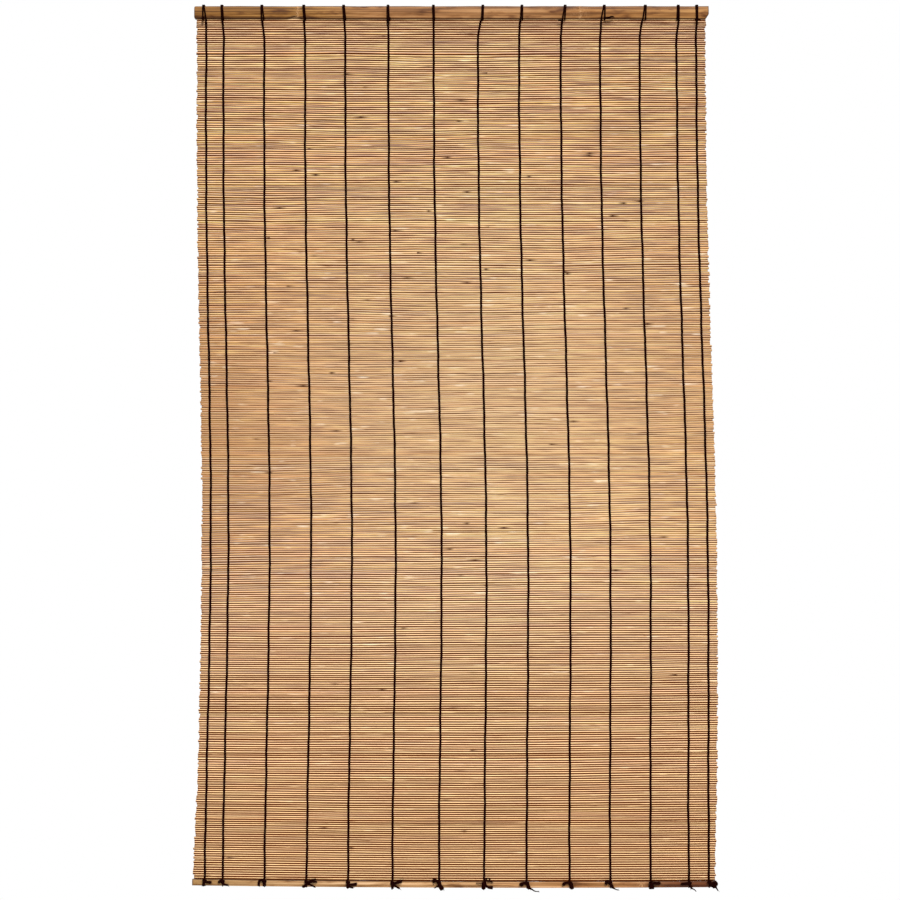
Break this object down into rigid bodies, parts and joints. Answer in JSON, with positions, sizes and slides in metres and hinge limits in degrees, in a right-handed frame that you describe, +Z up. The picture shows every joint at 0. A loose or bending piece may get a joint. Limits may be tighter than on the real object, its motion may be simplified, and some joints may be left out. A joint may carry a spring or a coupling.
{
  "type": "bamboo roll up blind",
  "caption": "Flat hanging blind of thin bamboo sticks twined side by side on dark warp cords, with a split bamboo head batten above and a slim bottom batten below.",
  "frame": {"origin": "middle of the head batten, in its length, height and thickness", "axes": "+X to the right seen from the front, +Y away from the viewer, +Z up"},
  "size_m": [1.0087, 0.0208, 1.6993],
  "materials": {
    "head_bamboo": "bare split bamboo, satin skin",
    "stick_bamboo": "bare split bamboo, dull",
    "foot_bamboo": "bare split bamboo, satin skin",
    "cord": "dark brown twisted cotton cord"
  },
  "bodies": {
    "root": {"head_batten": "head_bamboo", "reed_mat": "stick_bamboo", "bottom_batten": "foot_bamboo", "warp_cord_01": "cord", "warp_cord_02": "cord", "warp_cord_03": "cord", "warp_cord_04": "cord", "warp_cord_05": "cord", "warp_cord_06": "cord", "warp_cord_07": "cord", "warp_cord_08": "cord", "warp_cord_09": "cord", "warp_cord_10": "cord", "warp_cord_11": "cord", "warp_cord_12": "cord", "warp_cord_13": "cord", "warp_cord_14": "cord"}
  },
  "joints": []
}
